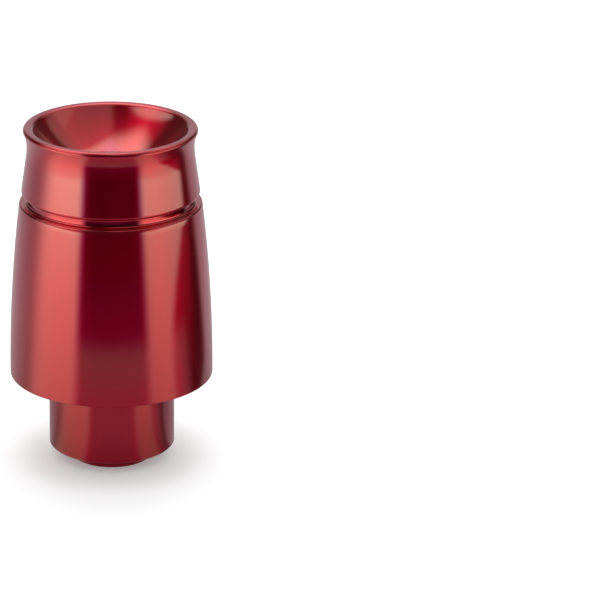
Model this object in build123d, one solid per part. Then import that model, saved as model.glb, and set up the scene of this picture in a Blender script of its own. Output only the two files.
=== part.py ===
from build123d import *
import os
from math import atan2, cos, degrees, radians, sin, tan

# Motorcycle handlebar end weight, standing on its spigot end with the cup up.
# Millimetres. The origin is the centre of the pilot's end face, and +Z runs along the axis to the cup.

# Lengths along the axis
weight_length = 43.2         # lip of the cup to the lower end of the main body
spigot_length = 13.0         # below the main body
pilot_length = 2.1           # below the spigot
neck_depth = 3.2             # lip to the narrowest ring under the rim
sleeve_depth = 11.3          # lip to the lower edge of the sleeve
groove_width = 1.6           # between the sleeve and the shoulder

# Outside diameters and what is cut into them, on the radius
rim_dia = 29.0
neck_waist = 0.58            # under the rim
groove_depth = 0.94          # under the foot of the sleeve
shoulder_step = 0.31         # beyond the foot of the sleeve
body_dia = 34.2              # at the lower end of the main body
spigot_dia = 21.2
pilot_dia = 14.0

# Curves and broken edges of the outside
lip_edge_r = 0.5
sleeve_blend_r = 14.0        # from the neck into the cone of the sleeve
sleeve_taper = 8.2           # degrees from the axis
sleeve_edge_r = 0.4
groove_corner_r = 0.45
shoulder_edge_r = 0.3
body_edge_r = 0.2
spigot_root_r = 0.3
spigot_chamfer = 0.4
pilot_chamfer = 0.2

# Cup, counterbore and bore
lip_width = 1.5              # rim to the mouth of the cup, on the radius
cup_lip_r = 0.8
cup_depth = 6.2              # lip to the edge of the counterbore
cup_angle = 33.0             # degrees from the axis, where the wall leaves the lip
counterbore_edge_r = 0.2
bore_lead_in = 0.4
bore_chamfer = 0.2

# Socket head cap screw, M6 x 45, and its clearances
screw_dia = 6.0
screw_length = 45.0          # under the head
screw_tip_chamfer = 0.8
head_dia = 10.0
head_height = 6.0
head_chamfer = 0.5
head_underside_r = 0.25
socket_flats = 5.0
socket_depth = 3.0
socket_mouth_dia = 6.3
socket_point_angle = 60.0    # degrees from the axis, at the drilled bottom of the socket
head_clearance = 0.75        # around the head, on the radius
head_proud = 0.4             # of the counterbore's edge
shank_clearance = 0.3        # around the shank, on the radius

# Diameters and depths that follow from the sizes above
neck_dia = rim_dia - 2 * neck_waist
blend_length = sleeve_blend_r * sin(radians(sleeve_taper))
blend_gain = sleeve_blend_r * (1 - cos(radians(sleeve_taper)))
cone_gain = (sleeve_depth - neck_depth - blend_length) * tan(radians(sleeve_taper))
sleeve_foot_dia = neck_dia + 2 * (blend_gain + cone_gain)
groove_dia = sleeve_foot_dia - 2 * groove_depth
shoulder_dia = sleeve_foot_dia + 2 * shoulder_step
underside_width = groove_depth - sleeve_edge_r / tan(radians(45 - sleeve_taper / 2))
groove_top_r = min(groove_corner_r, 0.9 * underside_width)    # keeps a flat at the sleeve's underside
cup_mouth_dia = rim_dia - 2 * lip_width
counterbore_dia = head_dia + 2 * head_clearance
bore_dia = screw_dia + 2 * shank_clearance

# Heights that both pieces share
spigot_end_z = pilot_length
body_end_z = spigot_end_z + spigot_length
lip_z = body_end_z + weight_length
head_top_z = lip_z - cup_depth + head_proud
seat_z = head_top_z - head_height


def corner(sketch, radius, height):
    """The half section's vertex nearest to a radius and a height."""
    return sketch.vertices().sort_by_distance((radius, height, 0))[0]


def rim_outline():
    """Lip edge, hollow flare and neck: two arcs that run into each other and stand upright at the neck."""
    edge_centre = (rim_dia / 2 - lip_edge_r, lip_z - lip_edge_r)
    reach = edge_centre[0] - neck_dia / 2
    drop = neck_depth - lip_edge_r
    flare_r = (reach**2 + drop**2 - lip_edge_r**2) / (2 * (reach + lip_edge_r))
    turn = degrees(atan2(drop, flare_r - reach))
    edge = CenterArc(edge_centre, lip_edge_r, 90, -(90 + turn))
    flare = TangentArc(edge @ 1, (neck_dia / 2, lip_z - neck_depth), tangent=edge % 1)
    return edge, flare


def sleeve_outline(start):
    """Arc out of the neck, then the straight cone down to the lower edge of the sleeve."""
    blend = JernArc(start=start, tangent=(0, -1), radius=sleeve_blend_r, arc_size=sleeve_taper)
    cone = Line(blend @ 1, (sleeve_foot_dia / 2, lip_z - sleeve_depth))
    return blend, cone


def cup_outline():
    """The dished wall: one arc, steep at the lip and flatter towards the counterbore."""
    lean = radians(cup_angle)
    return TangentArc(
        (cup_mouth_dia / 2, lip_z),
        (counterbore_dia / 2, lip_z - cup_depth),
        tangent=(-sin(lean), -cos(lean)))


def bar_end_body():
    """The aluminium weight: one turned section, swept round the axis."""
    groove_r = groove_dia / 2
    groove_top = lip_z - sleeve_depth
    groove_foot = groove_top - groove_width
    counterbore_r = counterbore_dia / 2
    bore_r = bore_dia / 2
    with BuildSketch(Plane.XZ) as section:
        with BuildLine():
            edge, flare = rim_outline()
            blend, sleeve = sleeve_outline(flare @ 1)
            Polyline(
                sleeve @ 1, (groove_r, groove_top), (groove_r, groove_foot), (shoulder_dia / 2, groove_foot))
            TangentArc(
                (body_dia / 2, body_end_z), (shoulder_dia / 2, groove_foot), tangent=(0, 1))
            Polyline(
                (body_dia / 2, body_end_z),
                (spigot_dia / 2, body_end_z),
                (spigot_dia / 2, spigot_end_z),
                (pilot_dia / 2, spigot_end_z),
                (pilot_dia / 2, 0),
                (bore_r, 0),
                (bore_r, seat_z - bore_lead_in),
                (bore_r + bore_lead_in, seat_z),
                (counterbore_r, seat_z),
                (counterbore_r, lip_z - cup_depth))
            wall = cup_outline()
            Line(wall @ 0, edge @ 0)
        make_face()
        rounded = (
            (cup_mouth_dia / 2, lip_z, cup_lip_r),
            (sleeve_foot_dia / 2, groove_top, sleeve_edge_r),
            (groove_r, groove_top, groove_top_r),
            (groove_r, groove_foot, groove_corner_r),
            (shoulder_dia / 2, groove_foot, shoulder_edge_r),
            (body_dia / 2, body_end_z, body_edge_r),
            (spigot_dia / 2, body_end_z, spigot_root_r),
            (counterbore_r, lip_z - cup_depth, counterbore_edge_r))
        for radius, height, size in rounded:
            fillet(corner(section, radius, height), size)
        chamfer(corner(section, spigot_dia / 2, spigot_end_z), spigot_chamfer)
        chamfer(corner(section, pilot_dia / 2, 0), pilot_chamfer)
        chamfer(corner(section, bore_r, 0), bore_chamfer)
    return revolve(section.sketch, axis=Axis.Z)


def screw_blank():
    """Head and shank of the screw, turned, before the socket."""
    tip_z = seat_z - screw_length
    with BuildSketch(Plane.XZ) as section:
        with BuildLine():
            Polyline(
                (0, tip_z),
                (screw_dia / 2, tip_z),
                (screw_dia / 2, seat_z),
                (head_dia / 2, seat_z),
                (head_dia / 2, head_top_z),
                (0, head_top_z),
                close=True)
        make_face()
        fillet(corner(section, screw_dia / 2, seat_z), head_underside_r)
        chamfer(corner(section, head_dia / 2, head_top_z), head_chamfer)
        chamfer(corner(section, screw_dia / 2, tip_z), screw_tip_chamfer)
    return revolve(section.sketch, axis=Axis.Z)


def hex_socket():
    """The room of the hexagon key: a prism with a drilled point below and a 45 degree bevel at the mouth."""
    floor_z = head_top_z - socket_depth
    prism = extrude(
        Plane.XY.offset(floor_z) * RegularPolygon(socket_flats / 2, 6, major_radius=False), socket_depth)
    point_depth = socket_flats / 2 / tan(radians(socket_point_angle))
    point = Pos(0, 0, floor_z - point_depth / 2) * Cone(0, socket_flats / 2, point_depth)
    mouth_r = socket_mouth_dia / 2
    mouth = Pos(0, 0, head_top_z - mouth_r / 2) * Cone(0, mouth_r, mouth_r)
    return prism + point + mouth


def fixing_screw():
    """The stainless screw, seated on the floor of the counterbore."""
    return screw_blank() - hex_socket()


os.makedirs("parts", exist_ok=True)
export_step(bar_end_body(), "parts/bar_end_body.step")
export_step(fixing_screw(), "parts/fixing_screw.step")
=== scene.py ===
import bmesh
import bpy
from math import asin, atan2, cos, degrees, hypot, radians, sin, tan
from mathutils import Matrix, Vector


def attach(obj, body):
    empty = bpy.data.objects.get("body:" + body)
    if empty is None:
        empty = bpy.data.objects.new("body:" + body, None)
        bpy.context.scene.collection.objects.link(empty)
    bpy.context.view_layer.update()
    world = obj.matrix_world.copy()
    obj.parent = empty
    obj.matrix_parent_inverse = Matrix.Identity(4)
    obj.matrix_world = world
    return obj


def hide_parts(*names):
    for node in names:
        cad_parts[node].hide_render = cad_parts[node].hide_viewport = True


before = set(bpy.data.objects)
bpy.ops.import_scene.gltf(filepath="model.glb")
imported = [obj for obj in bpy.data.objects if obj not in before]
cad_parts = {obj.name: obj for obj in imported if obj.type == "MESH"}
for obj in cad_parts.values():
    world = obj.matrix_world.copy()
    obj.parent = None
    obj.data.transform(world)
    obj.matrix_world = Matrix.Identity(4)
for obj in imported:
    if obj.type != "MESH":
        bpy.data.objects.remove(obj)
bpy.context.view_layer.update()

# The weight. One turned bar of aluminium: lip, hollow flare, neck, conical sleeve, groove, long
# body, spigot and pilot outside, and a cup, a counterbore and a clearance bore inside. Its edges are
# broken in the lathe, and the whole piece is then bright red anodised.
MM = 0.001
TOUCHING = 0.002 * MM
SHARP = radians(28)


def start(section, radius, height):
    """Sets down the first point of a half section, in millimetres from the axis and from the table."""
    return section.verts.new((radius * MM, 0, height * MM))


def line(section, end, radius, height):
    """Draws a straight run from the end of a half section, and returns the new end."""
    new_end = bmesh.ops.extrude_vert_indiv(section, verts=[end])["verts"][0]
    new_end.co = (radius * MM, 0, height * MM)
    return new_end


def arc(section, end, centre, turn, steps):
    """Draws an arc about a centre, clockwise for a turn above zero, and returns the new end."""
    drawn = bmesh.ops.spin(
        section, geom=[end], cent=(centre[0] * MM, 0, centre[1] * MM), axis=(0, 1, 0),
        dvec=(0, 0, 0), angle=radians(turn), steps=steps, use_duplicate=False)
    return drawn["geom_last"][0]


def soften(section, corner, radius, segments=5):
    """Rounds one corner of a half section, or breaks it with a flat where it gets one segment."""
    first, second = (edge.other_vert(corner).co - corner.co for edge in corner.link_edges)
    reach = radius * MM / tan(first.angle(second) / 2)
    bmesh.ops.bevel(
        section, geom=[corner], offset=reach, offset_type="OFFSET", segments=segments, profile=0.5,
        affect="VERTICES", material=-1)


def spin_round(section, steps):
    """Spins a half section once round the axis and closes the seam and the poles."""
    bmesh.ops.spin(
        section, geom=section.verts[:] + section.edges[:], cent=(0, 0, 0), axis=(0, 0, 1),
        dvec=(0, 0, 0), angle=radians(360), steps=steps, use_merge=True, use_duplicate=False)
    bmesh.ops.remove_doubles(section, verts=section.verts, dist=TOUCHING)


def finished(shell, name):
    """Turns a shell's faces outwards, shades it smoothly between its edges and makes an object of it."""
    bmesh.ops.recalc_face_normals(shell, faces=shell.faces)
    for face in shell.faces:
        face.smooth = True
    for edge in shell.edges:
        edge.smooth = edge.calc_face_angle(0) < SHARP
    mesh = bpy.data.meshes.new(name)
    shell.to_mesh(mesh)
    shell.free()
    piece = bpy.data.objects.new(name, mesh)
    bpy.context.scene.collection.objects.link(piece)
    even = piece.modifiers.new("even_shading", "WEIGHTED_NORMAL")
    even.mode = "FACE_AREA"
    even.keep_sharp = True
    return piece


# Radii and heights, in millimetres
rim, lip = 14.5, 58.3
neck, neck_z = 13.92, 55.1
sleeve_foot_z, shoulder_z = 47.0, 45.4
groove_depth, shoulder_step = 0.94, 0.31
body, body_z = 17.1, 15.1
spigot, spigot_z = 10.6, 2.1
pilot, bore, counterbore = 7.0, 3.3, 5.75
bore_lead_in = 0.4
seat_z, cup_floor_z = 46.5, 52.1
cup_mouth, cup_slope = 13.0, 57.0

lip_edge = 0.5
flare_reach, flare_drop = rim - lip_edge - neck, lip - lip_edge - neck_z
flare = (flare_reach**2 + flare_drop**2 - lip_edge**2) / (2 * (flare_reach + lip_edge))
flare_turn = degrees(atan2(flare_drop, flare - flare_reach))
sleeve_blend, taper = 14.0, 8.2
blend_gain = sleeve_blend * (1 - cos(radians(taper)))
blend_end_z = neck_z - sleeve_blend * sin(radians(taper))
sleeve_foot = neck + blend_gain + (blend_end_z - sleeve_foot_z) * tan(radians(taper))
groove, shoulder = sleeve_foot - groove_depth, sleeve_foot + shoulder_step
body_fall = body - shoulder
body_curve = (body_fall**2 + (shoulder_z - body_z) ** 2) / (2 * body_fall)
body_turn = degrees(asin((shoulder_z - body_z) / body_curve))

section = bmesh.new()
lip_outer = start(section, rim - lip_edge, lip)
point = arc(section, lip_outer, (rim - lip_edge, lip - lip_edge), 90 + flare_turn, steps=16)
point = arc(section, point, (neck + flare, neck_z), -flare_turn, steps=16)
point = arc(section, point, (neck + sleeve_blend, neck_z), -taper, steps=8)
sleeve_edge = line(section, point, sleeve_foot, sleeve_foot_z)
groove_top = line(section, sleeve_edge, groove, sleeve_foot_z)
groove_foot = line(section, groove_top, groove, shoulder_z)
shoulder_edge = line(section, groove_foot, shoulder, shoulder_z)
body_edge = arc(section, shoulder_edge, (body - body_curve, body_z), body_turn, steps=24)
spigot_root = line(section, body_edge, spigot, body_z)
spigot_edge = line(section, spigot_root, spigot, spigot_z)
point = line(section, spigot_edge, pilot, spigot_z)
pilot_edge = line(section, point, pilot, 0)
bore_edge = line(section, pilot_edge, bore, 0)
point = line(section, bore_edge, bore, seat_z - bore_lead_in)
point = line(section, point, bore + bore_lead_in, seat_z)
point = line(section, point, counterbore, seat_z)
counterbore_edge = line(section, point, counterbore, cup_floor_z)

run, rise = cup_mouth - counterbore, lip - cup_floor_z
cup_turn = 2 * (cup_slope - degrees(atan2(rise, run)))
cup_curve = hypot(run, rise) / (2 * sin(radians(cup_turn / 2)))
cup_centre = (
    cup_mouth - cup_curve * sin(radians(cup_slope)), lip + cup_curve * cos(radians(cup_slope)))
cup_edge = arc(section, counterbore_edge, cup_centre, -cup_turn, steps=20)
section.edges.new((cup_edge, lip_outer))

rounded = (
    (sleeve_edge, 0.4), (groove_top, 0.43), (groove_foot, 0.45), (shoulder_edge, 0.3),
    (body_edge, 0.2), (spigot_root, 0.3), (counterbore_edge, 0.2), (cup_edge, 0.8))
for edge, radius in rounded:
    soften(section, edge, radius)
chamfered = ((spigot_edge, 0.4), (pilot_edge, 0.2), (bore_edge, 0.2))
for edge, size in chamfered:
    soften(section, edge, size, segments=1)
spin_round(section, steps=224)
weight = finished(section, "bar_end_weight")


class Wire:
    """A shader socket that adds Math nodes when it is used in an expression."""

    def __init__(self, graph, socket):
        self.graph, self.socket = graph, socket

    def math(self, operation, *others):
        values = dict(enumerate((self, *others)))
        return self.graph.node("ShaderNodeMath", {"operation": operation}, values)

    def __add__(self, other):
        return self.math("ADD", other)

    __radd__ = __add__

    def __mul__(self, other):
        return self.math("MULTIPLY", other)

    __rmul__ = __mul__

    def __sub__(self, other):
        return self.math("SUBTRACT", other)

    def __rsub__(self, other):
        return (self * -1) + other

    def __truediv__(self, other):
        return self.math("DIVIDE", other)

    def __getitem__(self, name):
        """Another output of the same node."""
        return Wire(self.graph, self.socket.node.outputs[name])


class Graph:
    """The nodes of one material or of the world."""

    def __init__(self, owner):
        owner.use_nodes = True
        self.tree = owner.node_tree
        self.tree.nodes.clear()

    def node(self, kind, settings=None, inputs=None, output=0):
        """Adds a node, sets it up, joins its sockets and returns one of its outputs."""
        made = self.tree.nodes.new(kind)
        for name, value in (settings or {}).items():
            setattr(made, name, value)
        for name, value in (inputs or {}).items():
            if isinstance(value, Wire):
                self.tree.links.new(value.socket, made.inputs[name])
            else:
                made.inputs[name].default_value = value
        return Wire(self, made.outputs[output]) if made.outputs else None


# The finish: fine rings left by the turning tool, under a clear layer of red oxide. The narrow tool
# of the groove leaves its walls and the corners beside it smoother.
red_oxide = (0.54, 0.001, 0.026, 1)
rings_per_metre = 5200
ring_depth = 0.02 * MM
groove_middle = (sleeve_foot_z + shoulder_z) / 2 * MM
groove_reach = (sleeve_foot_z - shoulder_z) / 2 * MM + 0.25 * MM
turned_roughness, ring_roughness, groove_smoothness = 0.30, 0.08, 0.16

anodised = bpy.data.materials.new("red_anodised")
graph = Graph(anodised)
place = graph.node("ShaderNodeTexCoord", output="Object")
parts = graph.node("ShaderNodeSeparateXYZ", {}, {"Vector": place})
x_part, y_part, z_part = (parts[axis] for axis in "XYZ")
from_axis = (x_part * x_part + y_part * y_part).math("SQRT")
along = graph.node(
    "ShaderNodeCombineXYZ", {}, {"X": from_axis * rings_per_metre, "Y": z_part * rings_per_metre, "Z": 0.0})
rings = graph.node(
    "ShaderNodeTexNoise", {"noise_dimensions": "2D"},
    {"Vector": along, "Scale": 1.0, "Detail": 3.0, "Roughness": 0.6})
ridges = graph.node(
    "ShaderNodeBump", {}, {"Strength": 0.06, "Distance": ring_depth, "Height": rings})
in_groove = (z_part - groove_middle).math("ABSOLUTE").math("LESS_THAN", groove_reach)
metal = graph.node(
    "ShaderNodeBsdfPrincipled", {},
    {
        "Base Color": red_oxide,
        "Metallic": 0.95,
        "Roughness": turned_roughness + rings * ring_roughness - in_groove * groove_smoothness,
        "Anisotropic": 0.9,
        "Anisotropic Rotation": 0.25,
        "Coat Weight": 1.0,
        "Coat Roughness": 0.09,
        "Coat IOR": 1.7,
        "Normal": ridges,
    })
graph.node("ShaderNodeOutputMaterial", {}, {"Surface": metal})
weight.data.materials.append(anodised)
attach(weight, "root")
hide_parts("bar_end_body")

# The fixing screw. A stainless M6 x 45 socket head cap screw: the head and the hexagon socket are
# cold headed, the coarse thread is rolled on the lower 24 mm, and the head sits on the seat.
head, head_top = 5.0, 52.5
shank, root = 3.0, 2.39
tip_z, thread_top = 1.5, 25.5
socket_mouth, socket_floor_z = 3.15, 49.5
key_flat = 2.5
drill_slope = 60.0
around = 96

section = bmesh.new()
point = start(section, socket_mouth, head_top)
head_edge = line(section, point, head, head_top)
underside = line(section, head_edge, head, seat_z)
shank_root = line(section, underside, shank, seat_z)
point = line(section, shank_root, shank, thread_top)
point = line(section, point, root, thread_top - (shank - root))
point = line(section, point, root, tip_z)
point = line(section, point, 0, tip_z)
soften(section, head_edge, 0.5)
soften(section, underside, 0.1, segments=2)
soften(section, shank_root, 0.25, segments=3)
spin_round(section, steps=around)
mouth_rim = [edge for edge in section.edges if edge.is_boundary]


def vertices_of(extrusion):
    """The new vertices of an extrusion."""
    return [item for item in extrusion["geom"] if isinstance(item, bmesh.types.BMVert)]


def open_edges_of(extrusion):
    """The edges of an extrusion that nothing is joined to yet."""
    edges = [item for item in extrusion["geom"] if isinstance(item, bmesh.types.BMEdge)]
    return [edge for edge in edges if edge.is_boundary]


# The socket: a bevelled mouth, the hexagon's walls, a floor and the drill's point below it.
hexagon = bmesh.ops.create_circle(
    section, cap_ends=False, segments=6, radius=key_flat * MM / cos(radians(30)))
sides = list({edge for vertex in hexagon["verts"] for edge in vertex.link_edges})
bmesh.ops.subdivide_edges(section, edges=sides, cuts=around // 6 - 1)
hexagon_edges = [edge for edge in section.edges if edge.is_wire]
for vertex in {vertex for edge in hexagon_edges for vertex in edge.verts}:
    vertex.co.z = (head_top - socket_mouth) * MM + hypot(vertex.co.x, vertex.co.y)
bmesh.ops.bridge_loops(section, edges=mouth_rim + hexagon_edges)
walls = bmesh.ops.extrude_edge_only(section, edges=hexagon_edges)
for vertex in vertices_of(walls):
    vertex.co.z = socket_floor_z * MM
floor = bmesh.ops.extrude_edge_only(section, edges=open_edges_of(walls))
for vertex in vertices_of(floor):
    shrink = key_flat * MM / hypot(vertex.co.x, vertex.co.y)
    vertex.co.x *= shrink
    vertex.co.y *= shrink
drill_point = bmesh.ops.extrude_edge_only(section, edges=open_edges_of(floor))
for vertex in vertices_of(drill_point):
    vertex.co = (0, 0, (socket_floor_z - key_flat / tan(radians(drill_slope))) * MM)
bmesh.ops.remove_doubles(section, verts=section.verts, dist=TOUCHING)

# The rolled thread: one ridge of a 60 degree profile, carried up the shank at 1 mm a turn.
pitch, turn_steps = 1.0, 48
turns = thread_top - tip_z
crest, foot = pitch / 8, pitch * 0.86
sunk_root = root - 0.05
tip_chamfer = 0.8
ridge = bmesh.new()
profile = ridge.faces.new((
    start(ridge, shank, tip_z - crest / 2), start(ridge, shank, tip_z + crest / 2),
    start(ridge, sunk_root, tip_z + foot / 2), start(ridge, sunk_root, tip_z - foot / 2)))
bmesh.ops.spin(
    ridge, geom=[profile], cent=(0, 0, 0), axis=(0, 0, 1), dvec=(0, 0, pitch * MM / turn_steps),
    angle=radians(360 * turns), steps=round(turns * turn_steps), use_duplicate=False)
bmesh.ops.recalc_face_normals(ridge, faces=ridge.faces)
for vertex in ridge.verts:
    vertex.co.z = max(vertex.co.z, tip_z * MM)
    reach = hypot(vertex.co.x, vertex.co.y)
    most = (shank - tip_chamfer) * MM + vertex.co.z - tip_z * MM
    if reach > most:
        vertex.co.x *= most / reach
        vertex.co.y *= most / reach
thread = bpy.data.meshes.new("thread")
ridge.to_mesh(thread)
ridge.free()
section.from_mesh(thread)
bpy.data.meshes.remove(thread)
screw = finished(section, "cap_screw")

stainless = bpy.data.materials.new("stainless")
graph = Graph(stainless)
place = graph.node("ShaderNodeTexCoord", output="Object")
grain = graph.node(
    "ShaderNodeTexNoise", {}, {"Vector": place, "Scale": 2600.0, "Detail": 4.0, "Roughness": 0.6})
steel = graph.node(
    "ShaderNodeBsdfPrincipled", {},
    {
        "Base Color": (0.56, 0.55, 0.60, 1),
        "Metallic": 1.0,
        "Roughness": 0.24 + grain * 0.12,
    })
graph.node("ShaderNodeOutputMaterial", {}, {"Surface": steel})
screw.data.materials.append(stainless)
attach(screw, "root")
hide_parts("fixing_screw")

# The table. A plain white sheet of paper, laid flat, that goes on past the frame. To the camera it is
# white with the weight's soft shadow. What polished metal mirrors of it is a painted reflection, zone
# by zone.
half_sheet = 3.0
sheet_white = (0.755, 0.765, 0.768, 1)
camera_lift = 0.245

section = bmesh.new()
bmesh.ops.create_grid(section, x_segments=1, y_segments=1, size=half_sheet)
mesh = bpy.data.meshes.new("table_top")
section.to_mesh(mesh)
section.free()
table_top = bpy.data.objects.new("table_top", mesh)
bpy.context.scene.collection.objects.link(table_top)


def ramp(value, start, end, low=0.0, high=1.0):
    """Goes smoothly from a low strength to a high one while a value goes from start to end."""
    return value.graph.node(
        "ShaderNodeMapRange", {"interpolation_type": "SMOOTHSTEP"},
        {"Value": value, "From Min": start, "From Max": end, "To Min": low, "To Max": high})


def band(value, first_edge, second_edge):
    """Full between two soft edges. An edge is a pair: where it starts and where it is full."""
    return ramp(value, *first_edge) * ramp(value, *second_edge)


def bearing(to_right, to_back):
    """Degrees about the axis from the camera's side, rising to the right."""
    return to_right.math("ARCTAN2", to_back * -1).math("DEGREES")


def blend(factor, first, second):
    """Mixes two colours, each of them fixed or a socket."""
    return factor.graph.node(
        "ShaderNodeMix", {"data_type": "RGBA"}, {0: factor, 6: first, 7: second}, output=2)


# The painted reflection of the sheet, which only glossy rays see: painted light bright at the left,
# weaker at the right up to a slanting edge, a painted red bounce from the weight near its foot, dim
# behind and darkest in front. Its zones fade over bearings in degrees and distances in metres. The
# painted light at the sides grows with the root of the distance, and is as written at the plain distance.
left_strength, right_strength, foot_bounce_strength = 0.89, 0.74, 0.54
back_strength, front_strength = 0.52, 0.08
left_colour, right_colour = (1, 1.0, 0.74, 1), (1, 0.90, 0.68, 1)
foot_bounce_colour, outer_bounce_colour = (1, 0.34, 0.48, 1), (1, 0.75, 0.66, 1)
back_colour, front_colour = (1, 0.86, 0.92, 1), (0.5, 0.0, 1.0, 1)
plain_distance, brightest = 0.045, 4.0

paper = bpy.data.materials.new("white_paper_painted_reflection")
graph = Graph(paper)
place = graph.node("ShaderNodeTexCoord", output="Object")
parts = graph.node("ShaderNodeSeparateXYZ", {}, {"Vector": place})
x_part, y_part = parts["X"], parts["Y"]
from_axis = (x_part * x_part + y_part * y_part).math("SQRT")
turn = bearing(x_part, y_part)
off_front = turn.math("ABSOLUTE")

left_front_edge, left_back_edge = (-30.0, -43.0), (-114.0, -74.0)
left = band(turn, left_front_edge, left_back_edge)
right_front_edge, right_slant, right_softness = (32.0, 45.0), (0.06, 0.35, 66.0, 103.0), (6.0, -6.0)
past_slant = turn - ramp(from_axis, *right_slant)
right = ramp(turn, *right_front_edge) * ramp(past_slant, *right_softness)
spread = (from_axis / plain_distance).math("POWER", 0.5).math("MINIMUM", brightest)
# Painted shade: the painted light at the sides dims close to the weight's foot.
foot_shade = (0.02, 0.06, 0.85, 1.0)
side_light = left * left_strength + right * right_strength
painted_side_glow = side_light * spread * ramp(from_axis, *foot_shade)

# Painted red bounce: close to its foot the painted reflection turns red, as if lit by the red weight, with
# painted shade right under the weight.
foot_reach, foot_sides, painted_shade_under_weight = (0.118, 0.080), (95.0, 70.0), (0.008, 0.034, 0.34, 1.0)
at_foot = ramp(from_axis, *foot_reach) * ramp(off_front, *foot_sides) * (1 - left - right)
painted_foot_bounce = at_foot * foot_bounce_strength * ramp(from_axis, *painted_shade_under_weight)

back_left_edge, back_right_softness = (-90.0, -112.0), (0.0, 14.0)
back_slant, back_return = (0.025, 0.07, 84.0, 112.0), (0.30, 0.70, 0.0, 15.0)
# Painted shade: the painted light behind dims close to the weight.
back_shade = (0.02, 0.10, 0.65, 1.0)
back_right_edge = ramp(from_axis, *back_slant) - ramp(from_axis, *back_return)
at_back = ramp(turn, *back_left_edge) + ramp(turn - back_right_edge, *back_right_softness)
painted_back_glow = at_back * (1 - left) * back_strength * ramp(from_axis, *back_shade)

front_sides, front_reach = (44.0, 30.0), (0.26, 0.15)
in_front = ramp(off_front, *front_sides) * (1 - at_foot)
painted_front_glow = in_front * front_strength * ramp(from_axis, *front_reach)

foot_to_outer = (0.05, 0.11)
painted_red_bounce = blend(ramp(from_axis, *foot_to_outer), foot_bounce_colour, outer_bounce_colour)
painted_reflection_tint = blend(at_foot, blend(in_front, back_colour, front_colour), painted_red_bounce)
painted_reflection_tint = blend(left, painted_reflection_tint, left_colour)
painted_reflection_tint = blend(right, painted_reflection_tint, right_colour)
# The painted reflection: the sheet glows for glossy rays alone, with the painted light and shade of a lit
# table.
mirrored = graph.node(
    "ShaderNodeEmission", {}, {"Color": painted_reflection_tint, "Strength": painted_side_glow + painted_foot_bounce + painted_back_glow + painted_front_glow})

rays = graph.node("ShaderNodeLightPath")
matt = graph.node("ShaderNodeBsdfDiffuse", {}, {"Color": sheet_white})
lift = graph.node(
    "ShaderNodeEmission", {}, {"Color": (1, 1, 1, 1), "Strength": rays["Is Camera Ray"] * camera_lift})
sheet = graph.node("ShaderNodeAddShader", {}, {0: matt, 1: lift})
surface = graph.node("ShaderNodeMixShader", {}, {0: rays["Is Glossy Ray"], 1: sheet, 2: mirrored})
graph.node("ShaderNodeOutputMaterial", {}, {"Surface": surface})
table_top.data.materials.append(paper)

# The lamps. Soft boxes behind, overhead and in front light the sheet and cast the weight's shadow.
# Metal doesn't mirror them.
foot_of_weight = Vector((0, 0, 0))
for name, place, width, height, power in (
        ("soft_box_back", (0, 0.40, 0.50), 0.60, 0.40, 1.4),
        ("soft_box_over", (0, 0.00, 0.60), 0.36, 0.36, 0.95),
        ("soft_box_front", (0, -0.40, 0.50), 0.60, 0.40, 0.5)):
    lamp = bpy.data.lights.new(name, "AREA")
    lamp.shape = "RECTANGLE"
    lamp.size, lamp.size_y = width, height
    lamp.energy = power
    box = bpy.data.objects.new(name, lamp)
    box.location = place
    box.rotation_euler = (foot_of_weight - Vector(place)).to_track_quat("-Z", "Y").to_euler()
    box.visible_glossy = False
    bpy.context.scene.collection.objects.link(box)

# The studio, as metal mirrors it above the table: a dark room with a bright panel to the left, a weaker
# one to the right with a brighter core, one overhead, and a low backdrop behind. A place in it is
# where a direction meets a ceiling one unit up, to the right and to the back of the weight.
room_strength, open_room_strength = 0.03, 0.80
left_power, right_power, right_core_power, over_power, backdrop_power = 2.0, 0.48, 0.34, 2.4, 0.45
panel_colour, backdrop_colour = (1, 0.98, 0.80, 1), (0.97, 0.97, 1.0, 1)
lowest = 0.05

world = bpy.data.worlds.new("studio")
bpy.context.scene.world = world
graph = Graph(world)
direction = graph.node("ShaderNodeTexCoord", output="Generated")
parts = graph.node("ShaderNodeSeparateXYZ", {}, {"Vector": direction})
x_part, y_part, height = parts["X"], parts["Y"], parts["Z"].math("MAXIMUM", lowest)
over_x, over_y = x_part / height, y_part / height

front_edge = (-1.20, -0.80)
left_cut, left_inner, left_outer = (-0.82, -1.19), (-0.42, -0.75), (-2.20, -1.70)
left_panel = ramp(over_x + over_y, *left_cut) * band(over_x, left_inner, left_outer)
left_panel = left_panel * ramp(over_y, *front_edge) * left_power

right_inner, right_outer, right_back = (-0.15, 0.05), (2.30, 1.70), (1.60, 1.00)
core_inner, core_back = (0.88, 1.10), (0.50, 0.30)
right_core = ramp(over_x, *core_inner) * ramp(over_y, *core_back)
right_panel = band(over_x, right_inner, right_outer) * band(over_y, front_edge, right_back)
right_panel = right_panel * (right_power + right_core_power * right_core)

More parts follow.
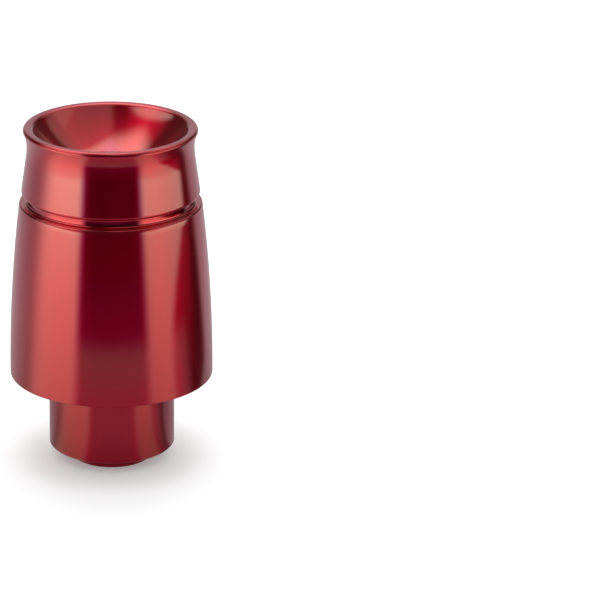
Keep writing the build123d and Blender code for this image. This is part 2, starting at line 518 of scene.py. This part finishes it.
over_left, over_front, over_back = (-0.90, -0.45), (-0.20, 0.25), (1.20, 0.80)
over_slope, over_cut = 0.6, (0.20, -0.05)
over_panel = ramp(over_x, *over_left) * ramp(over_x - over_y * over_slope, *over_cut)
over_panel = over_panel * band(over_y, over_front, over_back) * over_power

backdrop_sides = (148.0, 165.0)
at_backdrop = ramp(bearing(x_part, y_part).math("ABSOLUTE"), *backdrop_sides)
panels = left_panel.math("MAXIMUM", right_panel).math("MAXIMUM", over_panel)
panels = panels.math("MAXIMUM", at_backdrop * backdrop_power)

rays = graph.node("ShaderNodeLightPath")
mirrored = graph.node(
    "ShaderNodeBackground", {},
    {"Color": blend(at_backdrop, panel_colour, backdrop_colour), "Strength": room_strength + panels})
open_room = graph.node(
    "ShaderNodeBackground", {}, {"Color": (1, 1, 1, 1), "Strength": open_room_strength})
studio = graph.node("ShaderNodeMixShader", {}, {0: rays["Is Glossy Ray"], 1: open_room, 2: mirrored})
graph.node("ShaderNodeOutputWorld", {}, {"Surface": studio})

# The camera. It stands straight in front of the weight and above it, looks down by 20.6 degrees, and is
# turned a little to the right, so that the weight stands at the left of its frame.
eye = Vector((0.0, -0.553526, 0.236052))
yaw, pitch_down, roll = radians(3.288), radians(20.609), radians(0.889)

camera = bpy.data.cameras.new("camera")
camera.sensor_width = 36.0
camera.lens = 210.49
camera.clip_start, camera.clip_end = 0.01, 20.0
viewer = bpy.data.objects.new("camera", camera)
look = Vector((sin(yaw) * cos(pitch_down), cos(yaw) * cos(pitch_down), -sin(pitch_down)))
level = look.cross(Vector((0, 0, 1))).normalized()
above = level.cross(look)
across = cos(roll) * level + sin(roll) * above
up = cos(roll) * above - sin(roll) * level
viewer.matrix_world = Matrix((
    (across.x, up.x, -look.x, eye.x),
    (across.y, up.y, -look.y, eye.y),
    (across.z, up.z, -look.z, eye.z),
    (0, 0, 0, 1)))
bpy.context.scene.collection.objects.link(viewer)
bpy.context.scene.camera = viewer
bpy.context.scene.view_settings.view_transform = "Standard"
